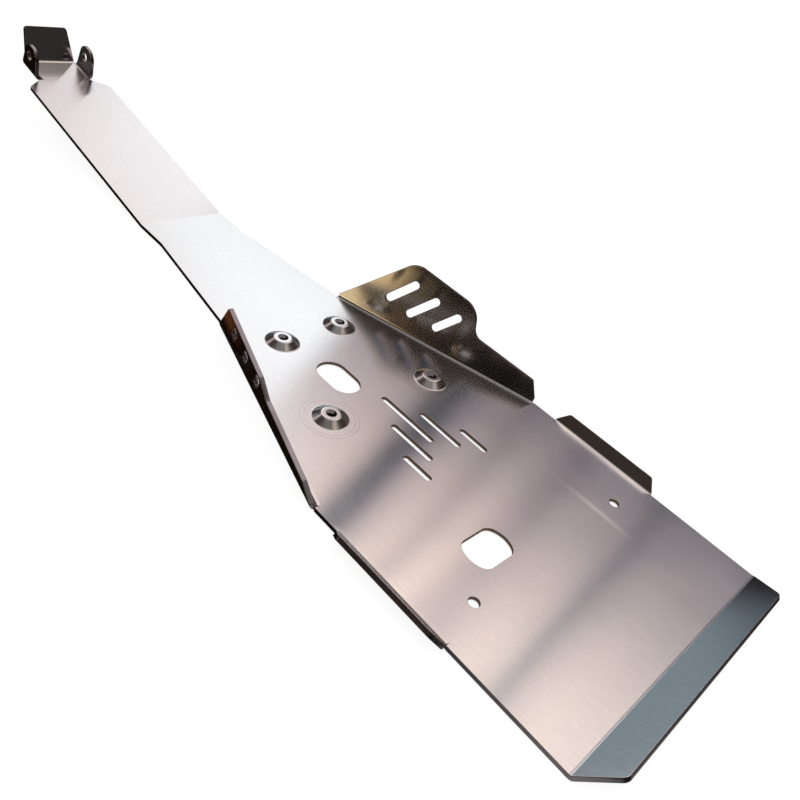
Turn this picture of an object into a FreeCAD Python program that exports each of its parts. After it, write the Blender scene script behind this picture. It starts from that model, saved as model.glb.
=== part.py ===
import FreeCAD, Part
import math
import os

# Skid plate for a quad bike: one aluminium sheet, cut flat, then pressed and folded.
# While it is drawn, X runs forward from the fold of the rear lip, Y runs to the left,
# and Z = 0 is the upper face of the flat sheet. All lengths are in millimetres.

# The sheet
sheet = 4.0
fold_radius = 4.0
neck_fold_radius = 14.0

# Outline of the flat part
rear_width = 271.0
rear_length = 234.0
shoulder_width = 135.5
shoulder_run = 216.5
neck_width = 95.0
flare_run = 136.5
neck_run = 38.5

# Rear lip
lip_angle = 31.5
lip_length = 27.4
lip_end_taper = 17.5
lip_corner_radius = 6.0

# Short flanges on both sides of the rear
flange_angle = 48.5
flange_height = 12.6
flange_start = 101.5
flange_length = 107.5
flange_end_taper = 8.0
flange_corner_radius = 3.0

# Tall slotted wing on the right side
wing_angle = 80.0
wing_front_angle = 45.5
wing_peak_along = 67.0
wing_peak_height = 68.2
wing_back_along = 139.0
wing_back_height = 56.0
wing_notch_along = 146.8
wing_notch_height = 30.2
wing_tail_along = 215.0
wing_tail_height = 19.2
wing_end_angle = 61.0
wing_peak_radius = 18.0
wing_back_radius = 20.0
wing_notch_radius = 11.0
wing_tail_radius = 3.0
wing_slot_width = 8.0
wing_slot_angle = 48.5
wing_slot_length = 39.5
wing_short_slot_length = 34.0
wing_first_slot_along = 63.9
wing_first_slot_height = 36.1
wing_second_slot_along = 89.1
wing_second_slot_height = 30.8
wing_third_slot_along = 116.7
wing_third_slot_height = 28.5

# Low guard on the left side
guard_angle = 80.0
guard_front_angle = 50.0
guard_front_start = 1.5
guard_front_height = 41.0
guard_step_along = 115.0
guard_step_height = 30.2
guard_tail_along = 130.0
guard_tail_height = 19.5
guard_end_along = 210.5
guard_end_height = 11.8
guard_end_gap = 1.5
guard_front_radius = 4.0
guard_step_radius = 6.0
guard_slot_width = 8.0
guard_slot_length = 18.0
guard_slot_angle = 60.0
guard_first_slot_along = 50.5
guard_first_slot_height = 24.0
guard_slot_spacing = 28.5
guard_slot_drop = 2.0

# Rising strip at the front
rise_angle = 9.2
strip_length = 261.5
strip_corner_run = 13.5
strip_corner_radius = 3.5
strip_end_width = 62.0

# Two ears with one hole across them, between two relief cuts
ears_over = 69.0
ear_rear_gap = 3.5
ear_front_gap = 1.0
ear_width = 32.2
ear_height = 29.3
ear_rear_taper = 4.0
ear_front_taper = 12.0
ear_rear_radius = 13.0
ear_front_radius = 11.0
ear_hole_diameter = 10.5
ear_hole_along = 17.6
ear_hole_height = 16.8

# End flap
flap_angle = 60.0
flap_length = 37.4
flap_root_width = 57.0
flap_tip_width = 49.0
flap_corner_radius = 4.0

# Four pressed dimples for screw heads that sit in from below
dimple_diameter = 31.0
dimple_top_diameter = 17.0
dimple_height = 5.0
dimple_hole_diameter = 9.0
dimple_foot_radius = 2.0
dimple_rim_radius = 1.2
rear_dimple_x = 305.6
rear_dimple_spacing = 122.5
front_dimple_x = 406.2
front_dimple_spacing = 68.0

# Service holes
front_hole_x = 344.5
front_hole_y = 18.7
front_hole_length = 44.5
front_hole_width = 28.5
drain_hole_x = 140.3
drain_hole_y = 46.9
drain_hole_diameter = 41.6
drain_hole_width = 29.0
drain_hole_corner_radius = 9.0

# Two screw holes at the rear
rear_screw_x = 113.4
rear_screw_spacing = 186.6
rear_screw_diameter = 9.0

# Five drain slots, the middle one longest
drain_slot_width = 6.0
middle_slot_start = 243.4
middle_slot_length = 62.7
inner_slot_start = 227.6
inner_slot_length = 47.7
outer_slot_start = 211.8
outer_slot_length = 31.0
drain_slot_pitch = 17.7


def rounded_wire(corners):
    """Closed wire through (x, y, radius) corners, each rounded by its own radius."""
    count = len(corners)
    starts = []
    ends = []
    middles = []
    for i in range(count):
        before = FreeCAD.Vector(corners[i - 1][0], corners[i - 1][1], 0)
        here = FreeCAD.Vector(corners[i][0], corners[i][1], 0)
        after = FreeCAD.Vector(corners[(i + 1) % count][0], corners[(i + 1) % count][1], 0)
        radius = corners[i][2]
        to_before = before - here
        to_after = after - here
        room = 0.49 * min(to_before.Length, to_after.Length)
        to_before.normalize()
        to_after.normalize()
        half = to_before.getAngle(to_after) / 2
        if radius <= 0 or half > 1.56:
            starts.append(here)
            ends.append(here)
            middles.append(None)
            continue
        run = min(radius / math.tan(half), room)
        radius = run * math.tan(half)
        inward = to_before + to_after
        inward.normalize()
        starts.append(here + to_before * run)
        ends.append(here + to_after * run)
        middles.append(here + inward * (radius / math.sin(half) - radius))
    edges = []
    for i in range(count):
        if middles[i] is not None:
            edges.append(Part.Arc(starts[i], middles[i], ends[i]).toShape())
        edges.append(Part.makeLine(ends[i], starts[(i + 1) % count]))
    return Part.Wire(edges)


def slot_cutter(x, y, length, width, angle):
    """Long round-ended cutter through the XY plane, its length turned from X by the angle."""
    half = width / 2
    reach = max(length / 2 - half, 0.05)
    deep = FreeCAD.Vector(0, 0, 10 * sheet)
    below = deep * -0.5
    middle = Part.makeBox(2 * reach, width, deep.z, below - FreeCAD.Vector(reach, half, 0))
    left = Part.makeCylinder(half, deep.z, below - FreeCAD.Vector(reach, 0, 0))
    right = Part.makeCylinder(half, deep.z, below + FreeCAD.Vector(reach, 0, 0))
    cutter = middle.fuse([left, right]).removeSplitter()
    return placed(cutter, FreeCAD.Vector(x, y, 0), angle)


def drain_cutter():
    """Cutter for the drain hole: a round hole with two flats, its corners rounded."""
    radius = drain_hole_diameter / 2
    half = min(drain_hole_width / 2, 0.98 * radius)
    low = FreeCAD.Vector(0, 0, -5 * sheet)
    between = Part.makeBox(2 * half, 2 * drain_hole_diameter, 10 * sheet,
                           low - FreeCAD.Vector(half, drain_hole_diameter, 0))
    cutter = Part.makeCylinder(radius, 10 * sheet, low).common(between)
    uprights = [edge for edge in cutter.Edges if abs(edge.tangentAt(edge.FirstParameter).z) > 0.99]
    cutter = cutter.makeFillet(min(drain_hole_corner_radius, 0.9 * half), uprights)
    return placed(cutter, FreeCAD.Vector(drain_hole_x, drain_hole_y, 0), 0)


def placed(shape, spot, turn):
    """The shape turned about Z, then moved to the spot."""
    shape.rotate(FreeCAD.Vector(0, 0, 0), FreeCAD.Vector(0, 0, 1), turn)
    shape.translate(spot)
    return shape


def setback(angle, radius):
    """Distance from the sharp fold line to where the flat face ends."""
    return radius * math.tan(math.radians(angle) / 2)


def bend(angle, radius, start, end):
    """The curved part of a fold along X, with the flat sheet on its -Y side."""
    turn = math.radians(angle)
    centre = FreeCAD.Vector(start, -setback(angle, radius), radius)

    def at(reach, share):
        swing = turn * share
        return centre + FreeCAD.Vector(0, math.sin(swing), -math.cos(swing)) * reach

    outside = radius + sheet
    edges = [
        Part.Arc(at(radius, 0), at(radius, 0.5), at(radius, 1)).toShape(),
        Part.makeLine(at(radius, 1), at(outside, 1)),
        Part.Arc(at(outside, 1), at(outside, 0.5), at(outside, 0)).toShape(),
        Part.makeLine(at(outside, 0), at(radius, 0)),
    ]
    return Part.Face(Part.Wire(edges)).extrude(FreeCAD.Vector(end - start, 0, 0))


def folded_piece(angle, corners, cutters):
    """A fold with its flat flap, corners as (along, height, radius), the first two at the fold."""
    flap = Part.Face(rounded_wire(corners)).extrude(FreeCAD.Vector(0, 0, -sheet))
    for cutter in cutters:
        flap = flap.cut(cutter)
    flap.rotate(FreeCAD.Vector(0, 0, 0), FreeCAD.Vector(1, 0, 0), angle)
    return flap.fuse(bend(angle, fold_radius, corners[0][0], corners[1][0]))


def fold_room(angle, start, end):
    """The part of the flat sheet that a fold takes the place of."""
    corner = FreeCAD.Vector(start, -setback(angle, fold_radius), -2 * sheet)
    return Part.makeBox(end - start, 60, 4 * sheet, corner)


# Places along the length
shoulder_x = rear_length + shoulder_run
flare_x = shoulder_x + flare_run
neck_x = flare_x + neck_run

# The flat part, out to its sharp fold lines
neck_back = setback(rise_angle, neck_fold_radius)
flat_corners = [
    (0, -rear_width / 2, 0),
    (rear_length, -rear_width / 2, 4),
    (shoulder_x, -shoulder_width / 2, 4),
    (flare_x, -neck_width / 2, 30),
    (neck_x - neck_back, -neck_width / 2, 0),
    (neck_x - neck_back, neck_width / 2, 0),
    (flare_x, neck_width / 2, 30),
    (shoulder_x, shoulder_width / 2, 4),
    (rear_length, rear_width / 2, 4),
    (0, rear_width / 2, 0),
]
skid = Part.Face(rounded_wire(flat_corners)).extrude(FreeCAD.Vector(0, 0, -sheet))

# Pressed dimples: raised above the sheet, hollow below, with the sheet's thickness kept
slope = math.atan2(dimple_height, (dimple_diameter - dimple_top_diameter) / 2)
shift = sheet * math.tan(slope / 2)
foot = dimple_diameter / 2
rim = dimple_top_diameter / 2
bore = dimple_hole_diameter / 2
ring = foot + 5
section = [
    FreeCAD.Vector(ring, 0, 0),
    FreeCAD.Vector(foot, 0, 0),
    FreeCAD.Vector(rim, 0, dimple_height),
    FreeCAD.Vector(bore, 0, dimple_height),
    FreeCAD.Vector(bore, 0, dimple_height - sheet),
    FreeCAD.Vector(rim - shift, 0, dimple_height - sheet),
    FreeCAD.Vector(foot - shift, 0, -sheet),
    FreeCAD.Vector(ring, 0, -sheet),
    FreeCAD.Vector(ring, 0, 0),
]
dimple = Part.Face(Part.makePolygon(section)).revolve(FreeCAD.Vector(), FreeCAD.Vector(0, 0, 1), 360)


def rings_at(shape, radius, level):
    """The circular edges of a turned shape with this radius at this level."""
    found = []
    for edge in shape.Edges:
        if isinstance(edge.Curve, Part.Circle):
            if abs(edge.Curve.Radius - radius) < 0.01 and abs(edge.Curve.Center.z - level) < 0.01:
                found.append(edge)
    return found


dimple = dimple.makeFillet(dimple_foot_radius, rings_at(dimple, foot, 0))
dimple = dimple.makeFillet(dimple_rim_radius, rings_at(dimple, rim, dimple_height))
dimple = dimple.makeFillet(dimple_rim_radius, rings_at(dimple, foot - shift, -sheet))
for x, spacing in ((rear_dimple_x, rear_dimple_spacing), (front_dimple_x, front_dimple_spacing)):
    for side in (-1, 1):
        spot = FreeCAD.Vector(x, side * spacing / 2, 0)
        disc = Part.makeCylinder(ring, 4 * sheet, spot - FreeCAD.Vector(0, 0, 2 * sheet))
        raised = dimple.copy()
        raised.translate(spot)
        skid = skid.cut(disc).fuse(raised)

# Service holes, screw holes and drain slots
cutters = [slot_cutter(front_hole_x, front_hole_y, front_hole_length, front_hole_width, 0)]
cutters.append(drain_cutter())
for side in (-1, 1):
    spot = FreeCAD.Vector(rear_screw_x, side * rear_screw_spacing / 2, -2 * sheet)
    cutters.append(Part.makeCylinder(rear_screw_diameter / 2, 4 * sheet, spot))
for row in (-2, -1, 0, 1, 2):
    start = (middle_slot_start, inner_slot_start, outer_slot_start)[abs(row)]
    length = (middle_slot_length, inner_slot_length, outer_slot_length)[abs(row)]
    cutters.append(slot_cutter(start + length / 2, row * drain_slot_pitch, length, drain_slot_width, 0))
for cutter in cutters:
    skid = skid.cut(cutter)

# Rear lip, folded up along the whole rear edge
lip_back = setback(lip_angle, fold_radius)
lip_corners = [
    (0, lip_back, 0),
    (rear_width, lip_back, 0),
    (rear_width - lip_end_taper, lip_length, lip_corner_radius),
    (lip_end_taper, lip_length, lip_corner_radius),
]
lip = folded_piece(lip_angle, lip_corners, [])
lip_spot = FreeCAD.Vector(0, -rear_width / 2, 0)
skid = skid.cut(placed(fold_room(lip_angle, 0, rear_width), lip_spot, 90)).fuse(placed(lip, lip_spot, 90))

# Short rear flanges, one on each side
flange_back = setback(flange_angle, fold_radius)
flange_corners = [
    (0, flange_back, 0),
    (flange_length, flange_back, 0),
    (flange_length - flange_end_taper, flange_height, flange_corner_radius),
    (flange_end_taper, flange_height, flange_corner_radius),
]
left_spot = FreeCAD.Vector(flange_start, rear_width / 2, 0)
right_spot = FreeCAD.Vector(flange_start + flange_length, -rear_width / 2, 0)
for spot, turn in ((left_spot, 0), (right_spot, 180)):
    room = placed(fold_room(flange_angle, 0, flange_length), spot, turn)
    flange = placed(folded_piece(flange_angle, flange_corners, []), spot, turn)
    skid = skid.cut(room).fuse(flange)

# The side edge between shoulder and rear, on which the wing and the guard are folded
side_run = math.hypot(shoulder_run, (rear_width - shoulder_width) / 2)
side_turn = 180 + math.degrees(math.atan2((rear_width - shoulder_width) / 2, shoulder_run))
side_spot = FreeCAD.Vector(shoulder_x, -shoulder_width / 2, 0)
mirror_plane = FreeCAD.Vector(0, 1, 0)

# Slotted wing on the right
wing_back = setback(wing_angle, fold_radius)
wing_front = wing_peak_along - (wing_peak_height - wing_back) / math.tan(math.radians(wing_front_angle))
wing_end = wing_tail_along + (wing_tail_height - wing_back) / math.tan(math.radians(wing_end_angle))
wing_corners = [
    (max(wing_front, 1), wing_back, 0),
    (min(wing_end, side_run - 1), wing_back, 0),
    (wing_tail_along, wing_tail_height, wing_tail_radius),
    (wing_notch_along, wing_notch_height, wing_notch_radius),
    (wing_back_along, wing_back_height, wing_back_radius),
    (wing_peak_along, wing_peak_height, wing_peak_radius),
]
wing_slots = [
    slot_cutter(wing_first_slot_along, wing_first_slot_height,
                wing_slot_length, wing_slot_width, wing_slot_angle),
    slot_cutter(wing_second_slot_along, wing_second_slot_height,
                wing_slot_length, wing_slot_width, wing_slot_angle),
    slot_cutter(wing_third_slot_along, wing_third_slot_height,
                wing_short_slot_length, wing_slot_width, wing_slot_angle),
]
wing = placed(folded_piece(wing_angle, wing_corners, wing_slots), side_spot, side_turn)
room = placed(fold_room(wing_angle, wing_corners[0][0], wing_corners[1][0]), side_spot, side_turn)
skid = skid.cut(room).fuse(wing)

# Low guard on the left, made on the right edge and mirrored across
guard_back = setback(guard_angle, fold_radius)
guard_lean = math.tan(math.radians(guard_front_angle))
guard_corners = [
    (guard_front_start + guard_back / guard_lean, guard_back, 0),
    (side_run - guard_end_gap, guard_back, 0),
    (guard_end_along, guard_end_height, guard_step_radius),
    (guard_tail_along, guard_tail_height, guard_step_radius),
    (guard_step_along, guard_step_height, guard_step_radius),
    (guard_front_start + guard_front_height / guard_lean, guard_front_height, guard_front_radius),
]
guard_slots = []
for i in range(3):
    along = guard_first_slot_along + i * guard_slot_spacing
    height = guard_first_slot_height - i * guard_slot_drop
    guard_slots.append(slot_cutter(along, height, guard_slot_length, guard_slot_width, guard_slot_angle))
guard = placed(folded_piece(guard_angle, guard_corners, guard_slots), side_spot, side_turn)
room = placed(fold_room(guard_angle, guard_corners[0][0], guard_corners[1][0]), side_spot, side_turn)
skid = skid.cut(room.mirror(FreeCAD.Vector(), mirror_plane)).fuse(guard.mirror(FreeCAD.Vector(), mirror_plane))

# The strip, drawn flat from the neck fold forward, X measured from that fold,
# with a tongue between the ears that runs on to the end flap
ear_start = strip_length + ear_rear_gap
flap_start = ear_start + ear_width + ear_front_gap
tongue_half = ears_over / 2 - sheet - setback(90, fold_radius)
strip_corners = [
    (neck_back, -neck_width / 2, 0),
    (strip_length - strip_corner_run, -neck_width / 2, strip_corner_radius),
    (strip_length, -strip_end_width / 2, 1),
    (strip_length, -tongue_half, 0),
    (flap_start, -tongue_half, 0),
    (flap_start, tongue_half, 0),
    (strip_length, tongue_half, 0),
    (strip_length, strip_end_width / 2, 1),
    (strip_length - strip_corner_run, neck_width / 2, strip_corner_radius),
    (neck_back, neck_width / 2, 0),
]
strip = Part.Face(rounded_wire(strip_corners)).extrude(FreeCAD.Vector(0, 0, -sheet))

# Ears at the sides of the tongue, one the mirror of the other
ear_back = setback(90, fold_radius)
ear_corners = [
    (0, ear_back, 0),
    (ear_width, ear_back, 0),
    (ear_width - ear_height * math.tan(math.radians(ear_front_taper)), ear_height, ear_front_radius),
    (ear_height * math.tan(math.radians(ear_rear_taper)), ear_height, ear_rear_radius),
]
hole_spot = FreeCAD.Vector(ear_hole_along, ear_hole_height, -2 * sheet)
ear_hole = Part.makeCylinder(ear_hole_diameter / 2, 4 * sheet, hole_spot)
ear_spot = FreeCAD.Vector(ear_start, tongue_half + ear_back, 0)
ear = placed(folded_piece(90, ear_corners, [ear_hole]), ear_spot, 0)
strip = strip.fuse([ear, ear.mirror(FreeCAD.Vector(), mirror_plane)])

# End flap at the front of the tongue
flap_back = setback(flap_angle, fold_radius)
flap_inset = (flap_root_width - flap_tip_width) / 2
flap_corners = [
    (0, flap_back, 0),
    (flap_root_width, flap_back, 0),
    (flap_root_width - flap_inset, flap_length, flap_corner_radius),
    (flap_inset, flap_length, flap_corner_radius),
]
flap_spot = FreeCAD.Vector(flap_start + flap_back, flap_root_width / 2, 0)
strip = strip.fuse(placed(folded_piece(flap_angle, flap_corners, []), flap_spot, -90))

# Raise the strip about the neck fold and join it
strip.rotate(FreeCAD.Vector(), FreeCAD.Vector(0, 1, 0), -rise_angle)
strip.translate(FreeCAD.Vector(neck_x, 0, 0))
neck_bend = placed(bend(rise_angle, neck_fold_radius, 0, neck_width),
                   FreeCAD.Vector(neck_x, neck_width / 2, 0), -90)
skid = skid.fuse([neck_bend, strip]).removeSplitter()
if skid.ShapeType == "Compound" and len(skid.Solids) == 1:
    skid = skid.Solids[0]

# Stand the part on its underside, over the middle of its bounding box
box = skid.BoundBox
skid.translate(FreeCAD.Vector(-box.Center.x, -box.Center.y, -box.ZMin))

os.makedirs("parts", exist_ok=True)
skid.exportStep("parts/skid_plate.step")
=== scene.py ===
import math
import time

import bpy
from mathutils import Matrix, Vector


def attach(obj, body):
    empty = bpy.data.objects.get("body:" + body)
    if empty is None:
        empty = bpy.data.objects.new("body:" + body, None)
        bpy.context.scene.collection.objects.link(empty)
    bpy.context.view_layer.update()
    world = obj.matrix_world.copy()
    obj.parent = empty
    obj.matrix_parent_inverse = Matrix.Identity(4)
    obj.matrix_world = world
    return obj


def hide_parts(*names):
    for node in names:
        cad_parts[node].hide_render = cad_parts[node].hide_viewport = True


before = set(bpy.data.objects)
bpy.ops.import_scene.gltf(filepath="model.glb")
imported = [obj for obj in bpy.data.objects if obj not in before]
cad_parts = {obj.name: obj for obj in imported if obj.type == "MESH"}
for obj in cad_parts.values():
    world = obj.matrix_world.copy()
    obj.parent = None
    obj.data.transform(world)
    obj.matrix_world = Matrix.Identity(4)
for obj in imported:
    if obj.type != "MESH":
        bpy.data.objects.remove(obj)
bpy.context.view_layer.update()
print("frame loaded:", ", ".join(sorted(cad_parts)))

scene = bpy.context.scene
began = time.time()
mm = 0.001


class Nodes:
    # draws in one node tree; an input is fed by another node's output, a number, a place or a colour

    def __init__(self, tree):
        self.tree = tree

    def feed(self, socket, source):
        if isinstance(source, bpy.types.NodeSocket):
            self.tree.links.new(source, socket)
        elif isinstance(source, tuple) and socket.type == "RGBA":
            socket.default_value = (*source, 1)
        else:
            socket.default_value = source

    def add(self, kind, feeds=None, **settings):
        node = self.tree.nodes.new(kind)
        for name, value in settings.items():
            setattr(node, name, value)
        for name, source in (feeds or {}).items():
            self.feed(node.inputs[name], source)
        return node

    def figure(self, operation, *terms):
        return self.add("ShaderNodeMath", dict(enumerate(terms)), operation=operation).outputs[0]

    def product(self, first, *others):
        for other in others:
            first = self.figure("MULTIPLY", first, other)
        return first

    def ease(self, value, low, high):
        # 0 at low and 1 at high, smooth between; low may be the greater of the two
        rising = low < high
        node = self.add("ShaderNodeMapRange", {
            "Value": value, "From Min": min(low, high), "From Max": max(low, high),
            "To Min": 0 if rising else 1, "To Max": 1 if rising else 0,
        }, interpolation_type="SMOOTHSTEP")
        return node.outputs[0]

    def blend(self, share, first, second, kind="MIX"):
        node = self.add("ShaderNodeMix", {"Factor": share, "A": first, "B": second}, data_type="RGBA", blend_type=kind)
        return node.outputs["Result"]

    def ramp(self, source, stops, name, low, high):
        # stops are (place, colour), with places that rise from low to high
        node = self.add("ShaderNodeValToRGB", {0: source}, label=name)
        elements = node.color_ramp.elements
        while len(elements) > 1:
            elements.remove(elements[-1])
        for number, (place, colour) in enumerate(stops):
            stop = elements[0] if number == 0 else elements.new(1)
            stop.position = (place - low) / (high - low)
            stop.color = (*colour, 1)
        return node.outputs[0]

    def noise(self, where, scale, detail):
        return self.add("ShaderNodeTexNoise", {"Vector": where, "Scale": scale, "Detail": detail}).outputs[0]

    def distance(self, where, place):
        return self.add("ShaderNodeVectorMath", {0: where, 1: place}, operation="DISTANCE").outputs["Value"]


camera = {
    "place": (-0.467456, 0.44359, 0.40225),
    "turnDeg": (52.402, -15.8506, -134.1446),
    "lens": 35.104, "sensor": 36, "nearest": 0.01,
}
cameraData = bpy.data.cameras.new("photoCamera")
cameraData.lens = camera["lens"]
cameraData.sensor_width = camera["sensor"]
cameraData.clip_start = camera["nearest"]
cameraObject = bpy.data.objects.new("photoCamera", cameraData)
cameraObject.location = camera["place"]
cameraObject.rotation_euler = [math.radians(a) for a in camera["turnDeg"]]
scene.collection.objects.link(cameraObject)
scene.camera = cameraObject
print("camera set")

# sizes in metres; under the dimples the floor's glow and colour are taken away, a painted shade
floor = {"size": 12.0, "drop": 0.0003, "grey": 0.16, "roughness": 0.9, "glow": 0.88, "paintedShadeRadius": 0.020}
bpy.ops.mesh.primitive_plane_add(size=floor["size"], location=(0, 0, -floor["drop"]))
floorObject = bpy.context.object
floorObject.name = "floor"
floorMaterial = bpy.data.materials.new("paleFloor")
floorMaterial.use_nodes = True
floorShader = floorMaterial.node_tree.nodes["Principled BSDF"]
floorShader.inputs["Roughness"].default_value = floor["roughness"]
floorShader.inputs["Emission Color"].default_value = (1, 1, 1, 1)
floorObject.data.materials.append(floorMaterial)
floorObject.visible_glossy = False

# studio light: what the polished sheet mirrors. swing is the angle in degrees from the right, over the top, to the
# left; ahead and up run from -1 to 1. Two limits say where a light begins and where it is full.
studio = {
    "rearSky": [            # by swing
        (0, (0.010, 0.008, 0.007)),
        (22, (0.012, 0.012, 0.014)),
        (32, (0.022, 0.028, 0.055)),
        (36, (0.062, 0.075, 0.125)),
        (40, (0.245, 0.235, 0.295)),
        (44, (0.60, 0.51, 0.49)),
        (48, (1.00, 0.82, 0.74)),
        (54, (1.18, 1.02, 0.94)),
        (62, (1.00, 0.90, 0.82)),
        (84, (0.55, 0.48, 0.42)),
        (96, (0.010, 0.008, 0.007)),
        (118, (0.024, 0.019, 0.016)),
        (136, (0.032, 0.026, 0.022)),
        (152, (0.004, 0.003, 0.002)),
        (180, (0.003, 0.002, 0.0015)),
    ],
    "frontSky": [           # by swing
        (0, (0.012, 0.010, 0.009)),
        (28, (0.10, 0.13, 0.15)),
        (32, (0.40, 0.44, 0.46)),
        (35, (1.30, 1.38, 1.38)),
        (44, (1.22, 1.25, 1.27)),
        (48, (1.00, 1.00, 1.02)),
        (54, (1.00, 0.96, 0.98)),
        (62, (0.84, 0.73, 0.72)),
        (84, (0.60, 0.52, 0.48)),
        (96, (0.012, 0.009, 0.008)),
        (118, (0.026, 0.020, 0.017)),
        (136, (0.036, 0.028, 0.024)),
        (152, (0.004, 0.003, 0.002)),
        (180, (0.003, 0.002, 0.0015)),
    ],
    "frontEdge": (0.532, 0.575),        # how far ahead the front sky begins
    "frontReach": (47, 2.2),            # above this swing it begins further back, by this much
    "bands": [              # how light the rear sky is, by how far ahead: soft boxes with gaps between
        (0.05, (1.06, 1.06, 1.06)), (0.075, (1.12, 1.10, 1.08)), (0.10, (1.02, 1.02, 1.02)),
        (0.122, (0.85, 0.86, 0.88)), (0.138, (0.42, 0.47, 0.53)), (0.154, (0.92, 0.92, 0.93)),
        (0.185, (1.08, 1.06, 1.04)), (0.215, (1.0, 0.98, 0.98)), (0.24, (0.70, 0.68, 0.72)),
        (0.26, (0.82, 0.78, 0.80)), (0.29, (1.10, 1.06, 1.02)), (0.305, (1.02, 1.0, 0.98)),
        (0.33, (0.72, 0.68, 0.70)), (0.348, (0.95, 0.92, 0.90)), (0.368, (0.92, 0.88, 0.88)),
        (0.394, (0.55, 0.55, 0.60)), (0.403, (0.11, 0.14, 0.185)), (0.424, (0.10, 0.13, 0.165)),
        (0.438, (0.65, 0.62, 0.63)), (0.455, (0.92, 0.88, 0.86)), (0.50, (1.0, 0.96, 0.96)),
    ],
    "lowBehind": {"colour": (0.034, 0.020, 0.012), "ahead": (-0.03, -0.15), "swing": (78, 62)},
    "rightGlow": {          # what the flanges mirror, and the wing by way of the guard
        "swing": (26, 18),
        "stops": [
            (-0.72, (0.010, 0.008, 0.006)), (-0.61, (0.022, 0.017, 0.013)), (-0.57, (0.12, 0.085, 0.05)),
            (-0.54, (0.76, 0.54, 0.27)), (-0.51, (1.10, 0.78, 0.38)), (-0.44, (0.50, 0.33, 0.15)),
            (-0.32, (0.025, 0.016, 0.011)),
            (0.05, (0.10, 0.07, 0.055)), (0.25, (0.16, 0.105, 0.08)), (0.36, (0.012, 0.010, 0.009)),
        ],
    },
    "highFront": {"colour": (0.52, 0.42, 0.40), "ahead": (0.62, 0.78), "swing": (46, 51)},     # for the strip's far end
    "lowFront": {           # what the rear lip mirrors, near and far, with a dark corner below the edge
        "near": (0.045, 0.054, 0.074), "far": (0.200, 0.245, 0.272), "change": (0.46, 0.60),
        "corner": (0.014, 0.009, 0.009), "cornerSlope": 25, "cornerEdge": (31.2, 31.5),
        "ahead": (0.36, 0.46), "swing": (32, 28),
    },
    "farFront": {"colour": (0.04, 0.038, 0.035), "ahead": (0.78, 0.88)},
    "behind": {"colour": (0.028, 0.024, 0.023), "ahead": (-0.62, -0.76), "up": (0.50, 0.38)},
    "leftGlow": {           # what the wing mirrors by way of the flat
        "swing": (140, 154),
        "stops": [
            (-0.12, (0.003, 0.0025, 0.002)), (-0.04, (0.03, 0.018, 0.010)), (0.0, (0.12, 0.07, 0.035)),
            (0.03, (0.90, 0.66, 0.36)), (0.12, (0.88, 0.73, 0.46)), (0.20, (0.36, 0.24, 0.13)),
            (0.27, (0.20, 0.12, 0.055)), (0.34, (0.02, 0.013, 0.008)),
        ],
    },
    "overhead": {"colour": (0.25, 0.235, 0.225), "up": (0.90, 0.96)},
    "ground": {"colour": (0.34, 0.325, 0.315), "ahead": (0.35, -0.1), "up": (-0.25, -0.5)},
    "groundAhead": (0.006, 0.0035, 0.002),
    "horizon": (-0.03, 0.03),
    "roomLight": 1.15,
}
world = bpy.data.worlds.new("studio")
scene.world = world
world.use_nodes = True
world.node_tree.nodes.clear()
sky = Nodes(world.node_tree)
direction = sky.add("ShaderNodeTexCoord").outputs["Generated"]
ahead, left, up = sky.add("ShaderNodeSeparateXYZ", {0: direction}).outputs
swing = sky.figure("DIVIDE", sky.figure("ARCTAN2", up, sky.figure("MULTIPLY", left, -1.0)), math.pi)
aheadShare = sky.figure("MULTIPLY", sky.figure("ADD", ahead, 1.0), 0.5)


def reach(light):
    # how fully a light shows, by the limits that it has
    shares = []
    for name, source, whole in (("ahead", ahead, 1), ("swing", swing, 180), ("up", up, 1)):
        if name in light:
            begins, full = light[name]
            shares.append(sky.ease(source, begins / whole, full / whole))
    return sky.product(*shares)


def glow(name):
    return sky.ramp(aheadShare, studio[name]["stops"], name, -1, 1)


bands = sky.ramp(aheadShare, studio["bands"], "bands", -1, 1)
rearSky = sky.blend(1.0, sky.ramp(swing, studio["rearSky"], "rearSky", 0, 180), bands, "MULTIPLY")
frontSky = sky.ramp(swing, studio["frontSky"], "frontSky", 0, 180)
reachSwing, reachBack = studio["frontReach"]
above = sky.figure("MAXIMUM", sky.figure("SUBTRACT", swing, reachSwing / 180), 0.0)
frontEdge = sky.figure("ADD", ahead, sky.figure("MULTIPLY", above, reachBack))
skyColour = sky.blend(sky.ease(frontEdge, *studio["frontEdge"]), rearSky, frontSky)

lowFront = studio["lowFront"]
lipColour = sky.blend(sky.ease(ahead, *lowFront["change"]), lowFront["near"], lowFront["far"])
cornerSide = sky.figure("ADD", swing, sky.figure("MULTIPLY", ahead, lowFront["cornerSlope"] / 180))
lipColour = sky.blend(sky.ease(cornerSide, *[a / 180 for a in lowFront["cornerEdge"]]), lowFront["corner"], lipColour)
# each light lies over the ones before it
for name, colour in (
        ("lowBehind", None), ("rightGlow", glow("rightGlow")), ("highFront", None), ("lowFront", lipColour),
        ("farFront", None), ("behind", None), ("leftGlow", glow("leftGlow")), ("overhead", None)):
    light = studio[name]
    skyColour = sky.blend(reach(light), skyColour, colour or light["colour"])
ground = sky.blend(reach(studio["ground"]), studio["groundAhead"], studio["ground"]["colour"])
skyColour = sky.blend(sky.ease(up, *studio["horizon"]), ground, skyColour)

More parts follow.
